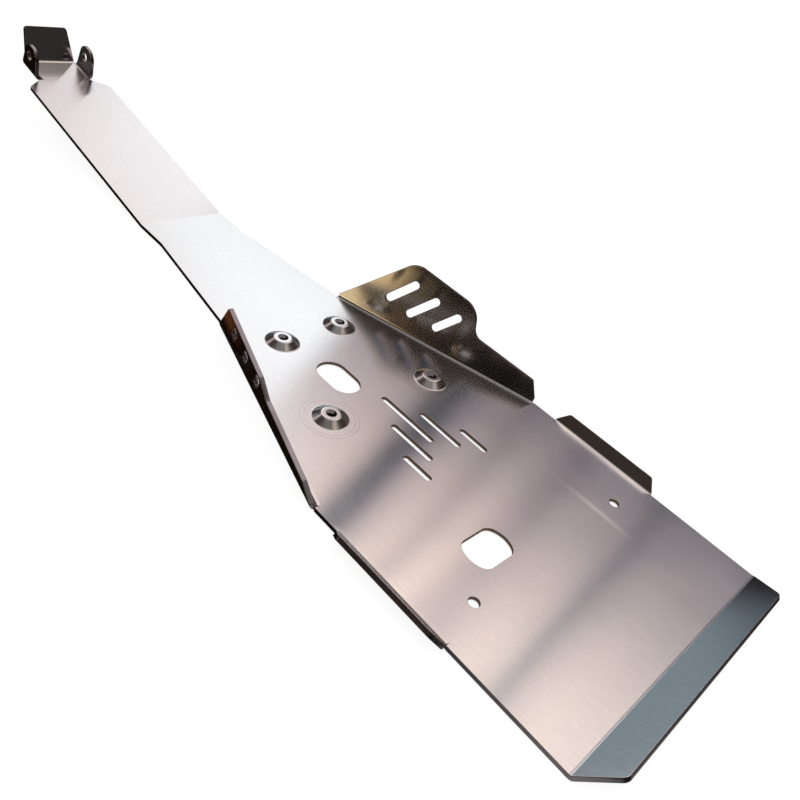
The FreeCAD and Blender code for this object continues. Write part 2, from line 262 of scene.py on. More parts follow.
# the camera and the matt floor see an even white room, and everything else sees the lights
gloss = sky.add("ShaderNodeBackground", {"Color": skyColour})
plain = sky.add("ShaderNodeBackground", {"Color": (1, 1, 1), "Strength": studio["roomLight"]})
path = sky.add("ShaderNodeLightPath")
seesRoom = sky.figure("MAXIMUM", path.outputs["Is Camera Ray"], path.outputs["Is Diffuse Ray"])
choose = sky.add("ShaderNodeMixShader", {"Fac": seesRoom, 1: gloss.outputs[0], 2: plain.outputs[0]})
sky.add("ShaderNodeOutputWorld", {"Surface": choose.outputs[0]})
scene.view_settings.view_transform = "Standard"
print("light set")

# lengths in millimetres, angles in degrees; X runs forward from the fold of the rear lip
plate = {
    "sheet": 4.0, "foldRadius": 4.0, "neckFoldRadius": 14.0,
    "rearWidth": 271.0, "rearLength": 234.0, "shoulderWidth": 135.5, "shoulderRun": 216.5,
    "neckWidth": 95.0, "flareRun": 136.5, "neckRun": 38.5, "cornerRadius": 4.0, "flareRadius": 30.0,
    "reliefSlope": 0.1, "neckSteps": 6,
    "zero": (-456.856, 0.0, 4.0),       # where the drawing's zero lies in the frame
}
lip = {"angle": 31.5, "length": 27.4, "endTaper": 17.5, "corner": 6.0}
flange = {"angle": 48.5, "height": 12.6, "start": 101.5, "length": 107.5, "endTaper": 8.0, "corner": 3.0}
wing = {
    "angle": 80.0, "frontAngle": 45.5, "endAngle": 61.0,
    "peak": (67.0, 68.2, 18.0), "back": (139.0, 56.0, 20.0),
    "notch": (146.8, 30.2, 11.0), "tail": (215.0, 19.2, 3.0),
    "slots": ((63.9, 36.1, 39.5), (89.1, 30.8, 39.5), (116.7, 28.5, 34.0)),
    "slotWidth": 8.0, "slotAngle": 48.5,
}
guard = {
    "angle": 80.0, "frontAngle": 50.0, "frontStart": 1.5, "frontHeight": 41.0, "frontRadius": 4.0,
    "step": (115.0, 30.2, 6.0), "tail": (130.0, 19.5, 6.0), "end": (210.5, 11.8, 6.0), "endGap": 1.5,
    "slotWidth": 8.0, "slotLength": 18.0, "slotAngle": 60.0,
    "slots": 3, "firstSlot": (50.5, 24.0), "slotSpacing": 28.5, "slotDrop": 2.0,
}
strip = {"rise": 9.2, "length": 261.5, "cornerRun": 13.5, "corner": 3.5, "endWidth": 62.0, "endCorner": 1.0}
ear = {
    "over": 69.0, "rearGap": 3.5, "frontGap": 1.0, "width": 32.2, "height": 29.3,
    "rearTaper": 4.0, "frontTaper": 12.0, "rearRadius": 13.0, "frontRadius": 11.0,
    "hole": 10.5, "holeAlong": 17.6, "holeHeight": 16.8,
}
flap = {"angle": 60.0, "length": 37.4, "rootWidth": 57.0, "rootLength": 0.4, "tipWidth": 49.0, "corner": 4.0}
dimple = {
    "foot": 15.5, "rim": 8.5, "height": 5.0, "bore": 4.5, "footRadius": 3.0, "rimRadius": 4.0, "blank": 20.5,
    "places": ((305.6, 61.25), (305.6, -61.25), (406.2, 34.0), (406.2, -34.0)), "steps": 96, "bendSteps": 5,
}
holes = {
    "service": (344.5, 18.7, 44.5, 28.5),           # x, y, length, width
    "drain": (140.3, 46.9, 41.6, 29.0, 9.0),        # x, y, across the round, across the flats, corner radius
    "screwX": 113.4, "screwY": 93.3, "screw": 9.0,
    "slotWidth": 6.0, "slotPitch": 17.7,
    "slots": ((243.4, 62.7), (227.6, 47.7), (211.8, 31.0)),        # start and length, from the middle row outwards
}
# how it is drawn
drawing = {
    "cornerStep": 6.0, "foldStep": 8.0, "flatAngle": 0.4,      # in degrees
    "holeSteps": 64, "drainSteps": (10, 7),
    "cutDepth": 40.0, "roomWidth": 20.0,
    "edgeShare": 0.49,      # the most of an edge that one rounded corner takes
    "weld": 0.002, "same": 0.001, "boxMargin": 0.003, "onFold": 0.005, "near": 0.01, "nearCircle": 0.05,
}
sheet = plate["sheet"]


def editMode(kind):
    bpy.ops.object.mode_set(mode="EDIT")
    bpy.ops.mesh.select_mode(type=kind)


def objectMode():
    bpy.ops.object.mode_set(mode="OBJECT")


def activate(piece):
    bpy.ops.object.select_all(action="DESELECT")
    piece.select_set(True)
    bpy.context.view_layer.objects.active = piece


def pick(piece, kind, test):
    # selects the edges or faces whose points pass the test; the test gets them in millimetres
    activate(piece)
    editMode(kind)
    bpy.ops.mesh.select_all(action="DESELECT")
    objectMode()
    vertices = piece.data.vertices
    for part in (piece.data.edges if kind == "EDGE" else piece.data.polygons):
        part.select = test([vertices[i].co / mm for i in part.vertices])
    editMode(kind)


def dropFaces(piece, test):
    pick(piece, "FACE", test)
    bpy.ops.mesh.delete(type="ONLY_FACE")
    objectMode()


def slideStray(piece, goal):
    # a cut can leave a point part-way along an edge, where the fold or dimple has none: it goes to the nearest
    # place that has one
    for point in piece.data.vertices:
        place = goal(point.co / mm)
        if place:
            point.co = Vector((place[0], place[1], point.co.z / mm)) * mm


def applied(piece):
    activate(piece)
    bpy.ops.object.transform_apply(location=True, rotation=True, scale=True)
    return piece


def placed(piece, turn=0, spot=(0, 0, 0), axis="Z"):
    # turned in degrees about an axis through zero, then moved in millimetres
    piece.matrix_world = (Matrix.Translation(Vector(spot) * mm)
                          @ Matrix.Rotation(math.radians(turn), 4, axis) @ piece.matrix_world)
    return applied(piece)


def setback(angle, radius):
    # how far before the fold's corner its curve begins
    return radius * math.tan(math.radians(angle) / 2)


def cutSheet(name, corners, depth=plate["sheet"]):
    # a flat blank under z = 0 with its corners rounded; corners are (x, y, radius), anticlockwise
    bpy.ops.mesh.primitive_circle_add(vertices=len(corners), fill_type="NGON")
    piece = bpy.context.object
    piece.name = name
    for point, corner in zip(piece.data.vertices, corners):
        point.co = (corner[0] * mm, corner[1] * mm, 0)
    editMode("FACE")
    bpy.ops.mesh.select_all(action="SELECT")
    bpy.ops.mesh.extrude_region_move(TRANSFORM_OT_translate={"value": (0, 0, -depth * mm)})
    bpy.ops.mesh.select_all(action="SELECT")
    bpy.ops.mesh.normals_make_consistent(inside=False)
    objectMode()
    count = len(corners)
    for i, (x, y, radius) in enumerate(corners):
        if radius <= 0:
            continue
        here = Vector((x, y))
        toBefore = Vector(corners[i - 1][:2]) - here
        toAfter = Vector(corners[(i + 1) % count][:2]) - here
        half = toBefore.angle(toAfter) / 2
        run = min(radius / math.tan(half), drawing["edgeShare"] * min(toBefore.length, toAfter.length))
        pick(piece, "EDGE", lambda points: all((p.xy - here).length < drawing["near"] for p in points))
        steps = max(2, round((180 - math.degrees(2 * half)) / drawing["cornerStep"]))
        bpy.ops.mesh.bevel(offset=run * mm, segments=steps, affect="EDGES")
        objectMode()
    return piece


def cut(piece, cutter):
    activate(piece)
    boolean = piece.modifiers.new("cut", "BOOLEAN")
    boolean.operation = "DIFFERENCE"
    boolean.solver = "EXACT"
    boolean.object = cutter
    bpy.ops.object.modifier_apply(modifier=boolean.name)
    bpy.data.objects.remove(cutter)
    editMode("VERT")
    bpy.ops.mesh.select_all(action="SELECT")
    bpy.ops.mesh.dissolve_limited(angle_limit=math.radians(drawing["flatAngle"]))
    objectMode()


def roundCutter(x, y, diameter, steps=drawing["holeSteps"]):
    bpy.ops.mesh.primitive_cylinder_add(vertices=steps, radius=diameter / 2 * mm, depth=drawing["cutDepth"] * mm,
                                        location=(x * mm, y * mm, 0))
    return applied(bpy.context.object)


def outlineCutter(corners, angle=0.0, spot=(0, 0, 0)):
    # reaches as far above z = 0 as below
    cutter = cutSheet("cutter", corners, drawing["cutDepth"])
    placed(cutter, spot=(0, 0, drawing["cutDepth"] / 2))
    return placed(cutter, angle, spot)


def slotCutter(x, y, length, width, angle=0.0):
    corners = [(sx * length / 2, sy * width / 2, width / 2) for sx, sy in ((-1, -1), (1, -1), (1, 1), (-1, 1))]
    return outlineCutter(corners, angle, (x, y, 0))


def bendTube(start, end, angle, radius, steps):
    # the curved part of a fold along X, open at both its ends
    back = setback(angle, radius)
    bpy.ops.mesh.primitive_plane_add(size=1)
    tube = bpy.context.object
    for point, (x, z) in zip(tube.data.vertices, ((start, 0), (end, 0), (start, -sheet), (end, -sheet))):
        point.co = (x * mm, -back * mm, z * mm)
    editMode("FACE")
    bpy.ops.mesh.select_all(action="SELECT")
    bpy.ops.mesh.delete(type="ONLY_FACE")
    bpy.ops.mesh.select_mode(type="EDGE")
    bpy.ops.mesh.select_all(action="SELECT")
    bpy.ops.mesh.spin(steps=steps, angle=math.radians(-angle), center=(0, -back * mm, radius * mm),
                      axis=(1, 0, 0))
    objectMode()
    return tube


def welded(name, pieces):
    # joined into the first piece, with the points that meet made one
    activate(pieces[0])
    for other in pieces[1:]:
        other.select_set(True)
    bpy.ops.object.join()
    whole = bpy.context.object
    whole.name = name
    editMode("VERT")
    bpy.ops.mesh.select_all(action="SELECT")
    bpy.ops.mesh.remove_doubles(threshold=drawing["weld"] * mm)
    bpy.ops.mesh.select_all(action="SELECT")
    bpy.ops.mesh.normals_make_consistent(inside=False)
    objectMode()
    return whole


def foldedFlap(name, angle, corners, cutters=()):
    # a fold along X with its flat flap, open where it meets the sheet; the first two corners stand at the fold
    blank = cutSheet(name, corners)
    for cutter in cutters:
        cut(blank, cutter)
    (start, foldLine), end = corners[0][:2], corners[1][0]
    dropFaces(blank, lambda points: all(abs(p.y - foldLine) < drawing["same"] for p in points))
    placed(blank, angle, axis="X")
    steps = max(3, round(angle / drawing["foldStep"]))
    return welded(name, [blank, bendTube(start, end, angle, plate["foldRadius"], steps)])


def foldRoom(angle, start, end):
    # the sheet that a fold takes the place of; it widens outwards, so that the fold's ends stand free
    back = setback(angle, plate["foldRadius"])
    width = drawing["roomWidth"]
    wider = plate["reliefSlope"] * width
    return outlineCutter([
        (start, -back, 0), (end, -back, 0), (end + wider, width - back, 0), (start - wider, width - back, 0),
    ])


# the flat, from the rear lip's fold to the neck
shoulderX = plate["rearLength"] + plate["shoulderRun"]
flareX = shoulderX + plate["flareRun"]
neckX = flareX + plate["neckRun"]
neckBack = setback(strip["rise"], plate["neckFoldRadius"])
rear, shoulder, neck = plate["rearWidth"] / 2, plate["shoulderWidth"] / 2, plate["neckWidth"] / 2
corner, flare = plate["cornerRadius"], plate["flareRadius"]
lipBack = setback(lip["angle"], plate["foldRadius"])
skid = cutSheet("skidSheet", [
    (lipBack, -rear, 0), (plate["rearLength"], -rear, corner), (shoulderX, -shoulder, corner),
    (flareX, -neck, flare), (neckX - neckBack, -neck, 0), (neckX - neckBack, neck, 0),
    (flareX, neck, flare), (shoulderX, shoulder, corner), (plate["rearLength"], rear, corner), (lipBack, rear, 0),
])

# holes in the flat
cut(skid, slotCutter(*holes["service"]))
drainX, drainY, drainAcross, drainFlats, drainCorner = holes["drain"]


def arc(centre, radius, start, end, steps):
    # places along an arc, by its angles in degrees
    turns = [math.radians(start + (end - start) * k / steps) for k in range(steps + 1)]
    return [(centre[0] + radius * math.cos(turn), centre[1] + radius * math.sin(turn)) for turn in turns]


# the drain is a round hole with two flats, whose corners are rounded: one quarter is drawn and turned into four
inX = drainFlats / 2 - drainCorner
inY = math.sqrt((drainAcross / 2 - drainCorner) ** 2 - inX ** 2)
meet = math.degrees(math.atan2(inY, inX))
cornerSteps, roundSteps = drawing["drainSteps"]
quarter = arc((inX, inY), drainCorner, 0, meet, cornerSteps)
quarter += arc((0, 0), drainAcross / 2, meet, 90, roundSteps)[1:-1]
outline = [*quarter, (0, drainAcross / 2), *[(-x, y) for x, y in reversed(quarter)]]
outline += [(x, -y) for x, y in reversed(outline)]
cut(skid, outlineCutter([(x, y, 0) for x, y in outline], spot=(drainX, drainY, 0)))
for side in (-1, 1):
    cut(skid, roundCutter(holes["screwX"], side * holes["screwY"], holes["screw"]))
slotRows = [(*holes["slots"][abs(row)], row * holes["slotPitch"]) for row in (-2, -1, 0, 1, 2)]
for start, length, y in slotRows:
    cut(skid, slotCutter(start + length / 2, y, length, holes["slotWidth"]))
print("flat cut", round(time.time() - began, 1))

# pressed dimples: a turned section of even thickness, welded into a round opening
slope = math.atan2(dimple["height"], dimple["foot"] - dimple["rim"])
shift = sheet * math.tan(slope / 2)


def rounded(path, radii):
    # rounds the corners of an (r, z) path; radii are given by the corner's number
    steps = dimple["bendSteps"]
    out = [path[0]]
    for i in range(1, len(path) - 1):
        here, radius = Vector(path[i]), radii.get(i, 0)
        if not radius:
            out.append(path[i])
            continue
        a = (Vector(path[i - 1]) - here).normalized()
        b = (Vector(path[i + 1]) - here).normalized()
        half = a.angle(b) / 2
        centre = here + (a + b).normalized() * (radius / math.sin(half))
        first = here + a * (radius / math.tan(half)) - centre
        last = here + b * (radius / math.tan(half)) - centre
        for k in range(steps + 1):
            out.append(tuple(centre + first.normalized().slerp(last.normalized(), k / steps) * radius))
    out.append(path[-1])
    return out


profile = rounded([
    (dimple["blank"], 0), (dimple["foot"], 0), (dimple["rim"], dimple["height"]), (dimple["bore"], dimple["height"]),
    (dimple["bore"], dimple["height"] - sheet), (dimple["rim"] - shift, dimple["height"] - sheet),
    (dimple["foot"] - shift, -sheet), (dimple["blank"], -sheet),
], {1: dimple["footRadius"], 2: dimple["rimRadius"], 6: dimple["rimRadius"]})


def pressDimple(skid, x, y):
    steps, blank = dimple["steps"], dimple["blank"]
    cut(skid, roundCutter(x, y, 2 * blank, steps))
    bpy.ops.mesh.primitive_circle_add(vertices=len(profile), fill_type="NOTHING")
    cone = bpy.context.object
    for point, (r, z) in zip(cone.data.vertices, profile):
        point.co = (r * mm, 0, z * mm)
    # the edge that closes the section lies in the plate's wall, so it is left out
    closing = {0, len(profile) - 1}
    editMode("EDGE")
    bpy.ops.mesh.select_all(action="DESELECT")
    objectMode()
    for edge in cone.data.edges:
        edge.select = set(edge.vertices) == closing
    editMode("EDGE")
    bpy.ops.mesh.delete(type="EDGE")
    bpy.ops.mesh.select_all(action="SELECT")
    bpy.ops.mesh.spin(steps=steps, angle=2 * math.pi, center=(0, 0, 0), axis=(0, 0, 1))
    objectMode()
    placed(cone, spot=(x, y, 0))

    def nearestStep(p):
        out = p.xy - Vector((x, y))
        turn = round(math.atan2(out.y, out.x) * steps / math.tau) * math.tau / steps
        if abs(out.length - blank) < drawing["nearCircle"]:
            return x + blank * math.cos(turn), y + blank * math.sin(turn)

    def onWall(points):
        heights = [p.z for p in points]
        far = [(p.xy - Vector((x, y))).length for p in points]
        return max(heights) - min(heights) > sheet / 2 and all(abs(r - blank) < drawing["near"] for r in far)

    slideStray(skid, nearestStep)
    dropFaces(skid, onWall)
    return welded("skidSheet", [skid, cone])


for x, y in dimple["places"]:
    skid = pressDimple(skid, x, y)
print("dimples", round(time.time() - began, 1))


def flipped(piece):
    # mirrored to the other side of the plate
    piece.scale = (1, -1, 1)
    applied(piece)
    editMode("FACE")
    bpy.ops.mesh.select_all(action="SELECT")
    bpy.ops.mesh.normals_make_consistent(inside=False)
    objectMode()
    return piece


def openFace(piece, low, high):
    # takes away the face whose points all lie in this box, so that a fold can be welded on
    margin = drawing["boxMargin"]
    dropFaces(piece, lambda points: all(
        a - margin <= c <= b + margin for p in points for a, c, b in zip(low, p, high)))


def addFlap(skid, piece, angle, start, end, spot, turn, mirrored=False):
    # welds a folded flap to a side of the flat; start and end lie along the side, from spot
    room = placed(foldRoom(angle, start, end), turn, spot)
    placed(piece, turn, spot)
    if mirrored:
        flipped(room)
        flipped(piece)
    cut(skid, room)
    back = setback(angle, plate["foldRadius"])
    turned = Matrix.Rotation(math.radians(turn), 3, "Z")
    ends = [turned @ Vector((x, -back, 0)) + Vector(spot) for x in (start, end)]
    if mirrored:
        ends = [Vector((p.x, -p.y, p.z)) for p in ends]
    along = (ends[1] - ends[0]).normalized()
    span = (ends[1] - ends[0]).length

    def onLine(p, margin):
        run = (p - ends[0]).dot(along)
        return abs((p - ends[0]).xy.cross(along.xy)) < drawing["onFold"] and -margin < run < span + margin

    def nearestEnd(p):
        if onLine(p, 0):
            return ends[0].xy if (p - ends[0]).dot(along) < span / 2 else ends[1].xy

    slideStray(skid, nearestEnd)
    dropFaces(skid, lambda points: all(onLine(p, drawing["near"]) for p in points))
    return welded("skidSheet", [skid, piece])


# rear lip
lipFlap = foldedFlap("lip", lip["angle"], [
    (0, lipBack, 0), (2 * rear, lipBack, 0),
    (2 * rear - lip["endTaper"], lip["length"], lip["corner"]), (lip["endTaper"], lip["length"], lip["corner"]),
])
openFace(skid, (lipBack, -rear, -sheet), (lipBack, rear, 0))
skid = welded("skidSheet", [skid, placed(lipFlap, 90, (0, -rear, 0))])

# rear flanges
back = setback(flange["angle"], plate["foldRadius"])
for spot, turn in (((flange["start"], rear, 0), 0), ((flange["start"] + flange["length"], -rear, 0), 180)):
    piece = foldedFlap("flange", flange["angle"], [
        (0, back, 0), (flange["length"], back, 0),
        (flange["length"] - flange["endTaper"], flange["height"], flange["corner"]),
        (flange["endTaper"], flange["height"], flange["corner"]),
    ])
    skid = addFlap(skid, piece, flange["angle"], 0, flange["length"], spot, turn)
print("lip and flanges", round(time.time() - began, 1))

# wing and guard, along the slanted sides; each runs from the front shoulder back
sideRun = math.hypot(plate["shoulderRun"], rear - shoulder)
sideTurn = 180 + math.degrees(math.atan2(rear - shoulder, plate["shoulderRun"]))
sideSpot = (shoulderX, -shoulder, 0)
back = setback(wing["angle"], plate["foldRadius"])
wingStart = wing["peak"][0] - (wing["peak"][1] - back) / math.tan(math.radians(wing["frontAngle"]))
wingEnd = wing["tail"][0] + (wing["tail"][1] - back) / math.tan(math.radians(wing["endAngle"]))
wingFlap = foldedFlap("wing", wing["angle"], [
    (wingStart, back, 0), (wingEnd, back, 0), wing["tail"], wing["notch"], wing["back"], wing["peak"],
], [slotCutter(x, y, length, wing["slotWidth"], wing["slotAngle"]) for x, y, length in wing["slots"]])
skid = addFlap(skid, wingFlap, wing["angle"], wingStart, wingEnd, sideSpot, sideTurn)
back = setback(guard["angle"], plate["foldRadius"])
frontSlope = math.tan(math.radians(guard["frontAngle"]))
guardStart = guard["frontStart"] + back / frontSlope
guardEnd = sideRun - guard["endGap"]
slotX, slotY = guard["firstSlot"]
guardSlots = [slotCutter(slotX + i * guard["slotSpacing"], slotY - i * guard["slotDrop"],
                         guard["slotLength"], guard["slotWidth"], guard["slotAngle"]) for i in range(guard["slots"])]
guardFlap = foldedFlap("guard", guard["angle"], [
    (guardStart, back, 0), (guardEnd, back, 0), guard["end"], guard["tail"], guard["step"],
    (guard["frontStart"] + guard["frontHeight"] / frontSlope, guard["frontHeight"], guard["frontRadius"]),
], guardSlots)
skid = addFlap(skid, guardFlap, guard["angle"], guardStart, guardEnd, sideSpot, sideTurn, mirrored=True)
print("wing and guard", round(time.time() - began, 1))

# rising strip with its ears and end flap
earStart = strip["length"] + ear["rearGap"]
earEnd = earStart + ear["width"]
flapStart = earEnd + ear["frontGap"]
tongue = ear["over"] / 2 - sheet - setback(90, plate["foldRadius"])
flapRoot = flap["rootWidth"] / 2
rootStart = flapStart - flap["rootLength"]
rightEdge = [
    (neckBack, -neck, 0), (strip["length"] - strip["cornerRun"], -neck, strip["corner"]),
    (strip["length"], -strip["endWidth"] / 2, strip["endCorner"]), (strip["length"], -tongue, 0),
    (earStart, -tongue, 0), (earEnd, -tongue, 0), (rootStart, -tongue, 0), (rootStart, -flapRoot, 0),
    (flapStart, -flapRoot, 0),
]
stripSheet = cutSheet("strip", rightEdge + [(x, -y, radius) for x, y, radius in reversed(rightEdge)])
back = setback(90, plate["foldRadius"])
rearLean, frontLean = [ear["height"] * math.tan(math.radians(ear[taper])) for taper in ("rearTaper", "frontTaper")]
for side in (1, -1):
    piece = foldedFlap("ear", 90, [
        (0, back, 0), (ear["width"], back, 0),
        (ear["width"] - frontLean, ear["height"], ear["frontRadius"]),
        (rearLean, ear["height"], ear["rearRadius"]),
    ], [roundCutter(ear["holeAlong"], ear["holeHeight"], ear["hole"])])
    placed(piece, spot=(earStart, tongue + back, 0))
    if side < 0:
        flipped(piece)
    openFace(stripSheet, (earStart, side * tongue, -sheet), (earEnd, side * tongue, 0))
    stripSheet = welded("strip", [stripSheet, piece])
back = setback(flap["angle"], plate["foldRadius"])
inset = (flap["rootWidth"] - flap["tipWidth"]) / 2
flapPiece = foldedFlap("flap", flap["angle"], [
    (0, back, 0), (flap["rootWidth"], back, 0),
    (flap["rootWidth"] - inset, flap["length"], flap["corner"]), (inset, flap["length"], flap["corner"]),
])
openFace(stripSheet, (flapStart, -flapRoot, -sheet), (flapStart, flapRoot, 0))
stripSheet = welded("strip", [stripSheet, placed(flapPiece, -90, (flapStart + back, flapRoot, 0))])
openFace(stripSheet, (neckBack, -neck, -sheet), (neckBack, neck, 0))
placed(stripSheet, -strip["rise"], (neckX, 0, 0), axis="Y")
neckTube = bendTube(0, plate["neckWidth"], strip["rise"], plate["neckFoldRadius"], plate["neckSteps"])
placed(neckTube, -90, (neckX, neck, 0))
openFace(skid, (neckX - neckBack, -neck, -sheet), (neckX - neckBack, neck, 0))
skid = welded("skidSheet", [skid, neckTube, stripSheet])
placed(skid, spot=plate["zero"])
print("strip", round(time.time() - began, 1), len(skid.data.vertices), len(skid.data.polygons))

# the two skins are found from the flat, and what is left between them is the cut edge
finish = {
    "edgeBreak": 0.4, "edgeSteps": 2, "edgeAngle": 50.0, "smoothAngle": 45.0, "foldLimit": 40.0,
    "normalWeight": 50, "levelNormal": 0.9999, "largeFace": 20.0, "holeMargin": 0.1,
}


def onOneSkin(points):
    return any(all(abs(p.z - skin) < drawing["same"] for p in points) for skin in (0, sheet))


pick(skid, "FACE", onOneSkin)
bpy.ops.mesh.faces_select_linked_flat(sharpness=math.radians(finish["foldLimit"]))
bpy.ops.mesh.select_all(action="INVERT")
objectMode()
openings = [(*holes["service"][:2], holes["service"][2] / 2), (*holes["drain"][:2], holes["drain"][2] / 2)]
openings += [(holes["screwX"], side * holes["screwY"], holes["screw"] / 2) for side in (-1, 1)]
openings += [(start + length / 2, y, length / 2) for start, length, y in slotRows]
materialOf = {"skin": 0, "edge": 1, "hole": 2}
for face in skid.data.polygons:
    centre = face.center / mm - Vector(plate["zero"])
    inHole = centre.z < finish["holeMargin"] and any(
        (centre.xy - Vector((x, y))).length < radius + finish["holeMargin"] for x, y, radius in openings)
    face.material_index = materialOf["skin" if not face.select else "hole" if inHole else "edge"]
bevel = skid.modifiers.new("deburr", "BEVEL")
bevel.width = finish["edgeBreak"] * mm
bevel.segments = finish["edgeSteps"]
bevel.limit_method = "ANGLE"
bevel.angle_limit = math.radians(finish["edgeAngle"])
bevel.use_clamp_overlap = False
bevel.miter_outer = "MITER_ARC"      # a sharp one runs far out at the narrow reliefs
bevel.material = materialOf["edge"]
activate(skid)
bpy.ops.object.modifier_apply(modifier=bevel.name)
bpy.ops.object.shade_smooth_by_angle(angle=math.radians(finish["smoothAngle"]))
even = skid.modifiers.new("evenNormals", "WEIGHTED_NORMAL")
even.keep_sharp = True
even.weight = finish["normalWeight"]
bpy.ops.object.modifier_apply(modifier=even.name)
# the flats keep their own direction right up to their corners, so nothing shades across them
mesh = skid.data
directions = [tuple(normal.vector) for normal in mesh.corner_normals]
for face in mesh.polygons:
    largeFlat = len(face.vertices) > 4 and face.area > finish["largeFace"] * mm ** 2
    if face.material_index == materialOf["skin"] and (abs(face.normal.z) > finish["levelNormal"] or largeFlat):
        for loop in face.loop_indices:
            directions[loop] = tuple(face.normal)
mesh.normals_split_custom_set(directions)
print("edges broken", round(time.time() - began, 1), len(mesh.vertices), len(mesh.polygons))

# polished rolled sheet: long grain, a slight waviness, the press tool's rings, a crease and a painted brown reflection;
# depths and widths in millimetres, tones as (how much the pattern counts, base)
aluminium = {
    "colour": (0.89, 0.885, 0.89),
    "roughness": 0.152, "lipRoughness": 0.055, "flapRoughness": 0.085, "pressedRoughness": 0.18,
    "grainRoughness": 0.05, "cloudRoughness": 0.03, "brushed": 1.0, "brushedTurn": 0.25,
    "grainStretch": 9.0, "grainScale": 1400.0, "grainDepth": 0.0009, "waveScale": 11.0, "waveDepth": 0.16,
    "streakScale": 520.0, "streakTone": (0.13, 0.915), "cloudScale": 26.0, "cloudTone": (0.06, 1.02),
    "toolMarks": (21.6, 24.8), "toolMarkWidth": 0.4, "toolMarkDepth": 0.012, "toolMarkShade": 0.16,
    "toolMarkCloud": (1.6, -0.1),
    "crease": (116.0, -70.5), "creaseLength": 24.0, "creaseWidth": 8.0, "creaseDepth": 0.15,
    "paintedReflection": (-36.0, 35.0), "paintedReflectionSize": (20.0, 11.0), "paintedReflectionColour": (0.095, 0.032, 0.013),
    "paintedReflectionBeyond": 50.0, "paintedReflectionEdge": 25.0, "paintedReflectionCloud": (0.5, 0.8),
}
# which way a face looks, by the size of its normal: sideways, on a flap that stands up, or on a dimple's side
facing = {"sideways": 0.7, "flap": 0.78, "dimple": 0.978, "lipMargin": 0.006}
cutEdge = {
    "colour": (0.60, 0.58, 0.64), "dark": (0.28, 0.24, 0.25), "patchScale": 45.0,
    "roughness": 0.18, "burrScale": 900.0, "burrRoughness": 0.12, "burrDepth": 0.01, "burrStrength": 0.08,
}
# the hole walls' colours are painted light: a dark painted shade at the top, a pale painted reflection of the floor at
# the foot
bore = {
    "paintedShadeTop": (0.085, 0.052, 0.032), "foot": (0.85, 0.84, 0.82), "paintedLightBelow": 1.0, "fade": 0.4,
    "roughness": 0.45, "burrScale": 700.0, "burrRoughness": 0.2,
}


def startMaterial(name):
    material = bpy.data.materials.new(name)
    material.use_nodes = True
    skid.data.materials.append(material)
    return Nodes(material.node_tree), material.node_tree.nodes["Principled BSDF"].inputs


metal, looks = startMaterial("brushedAluminium")
spot = metal.add("ShaderNodeTexCoord")
here = spot.outputs["Object"]
hereX, hereY, hereZ = metal.add("ShaderNodeSeparateXYZ", {0: here}).outputs
faceY, faceZ = metal.add("ShaderNodeSeparateXYZ", {0: spot.outputs["Normal"]}).outputs[1:]


def bell(distance, width):
    # 1 at no distance, a half at the width
    return metal.figure("POWER", 0.5, metal.figure("POWER", metal.figure("DIVIDE", distance, width), 2.0))


def toned(pattern, tone):
    return metal.figure("MULTIPLY_ADD", pattern, *tone)


standing = metal.figure("GREATER_THAN", metal.figure("ABSOLUTE", faceY), facing["sideways"])
level = metal.figure("ABSOLUTE", faceZ)
onFlap = metal.figure("LESS_THAN", level, facing["flap"])
onLip = metal.figure("COMPARE", level, math.cos(math.radians(lip["angle"])), facing["lipMargin"])
onDimple = metal.product(
    metal.figure("GREATER_THAN", level, facing["flap"]), metal.figure("LESS_THAN", level, facing["dimple"]),
    metal.figure("SUBTRACT", 1.0, onLip))

# the grain runs along X; across it the pattern reads Y on the flat and Z on what stands up
acrossGrain = metal.add("ShaderNodeMix", {"Factor": standing, "A": hereY, "B": hereZ}, data_type="FLOAT").outputs[0]
alongGrain = metal.figure("DIVIDE", hereX, aluminium["grainStretch"])
grainPlace = metal.add("ShaderNodeCombineXYZ", {0: alongGrain, 1: acrossGrain}).outputs[0]
grain = metal.noise(grainPlace, aluminium["grainScale"], detail=3.0)
streaks = metal.noise(grainPlace, aluminium["streakScale"], detail=4.0)
clouds = metal.noise(here, aluminium["cloudScale"], detail=5.0)
waves = metal.noise(here, aluminium["waveScale"], detail=1.0)

# thin rings left by the press tool round the two rear dimples, broken up by the clouds
zeroX = plate["zero"][0]
rings = 0.0
for x, y in dimple["places"][:2]:
    away = metal.distance(here, ((x + zeroX) * mm, y * mm, sheet * mm))
    for radius in aluminium["toolMarks"]:
        ring = bell(metal.figure("SUBTRACT", away, radius * mm), aluminium["toolMarkWidth"] * mm)
        rings = metal.figure("ADD", ring, rings)
rings = metal.product(rings, toned(clouds, aluminium["toolMarkCloud"]))

# colour: a little lighter and darker along the grain, and a faint cloudiness
tone = metal.product(toned(streaks, aluminium["streakTone"]), toned(clouds, aluminium["cloudTone"]))
tone = metal.figure("MULTIPLY_ADD", rings, -aluminium["toolMarkShade"], tone)
tint = metal.blend(1.0, tone, aluminium["colour"], "MULTIPLY")
# a painted brown reflection lies on the outer face of the guard, near its front
paintedReflection = metal.product(
    *[bell(metal.figure("SUBTRACT", way, middle * mm), width * mm)
      for way, middle, width in zip((hereX, hereZ), aluminium["paintedReflection"], aluminium["paintedReflectionSize"])],
    metal.figure("GREATER_THAN", faceY, facing["sideways"]),
    metal.figure("GREATER_THAN", hereY, aluminium["paintedReflectionBeyond"] * mm),
    toned(clouds, aluminium["paintedReflectionCloud"]))
paintedReflectionShare = metal.figure("MINIMUM", metal.figure("MULTIPLY", paintedReflection, aluminium["paintedReflectionEdge"]), 1.0)
# the painted brown reflection is laid into the base colour and takes the metal's shine away there
metal.feed(looks["Base Color"], metal.blend(paintedReflectionShare, tint, aluminium["paintedReflectionColour"]))
metal.feed(looks["Metallic"], metal.figure("SUBTRACT", 1.0, paintedReflection))

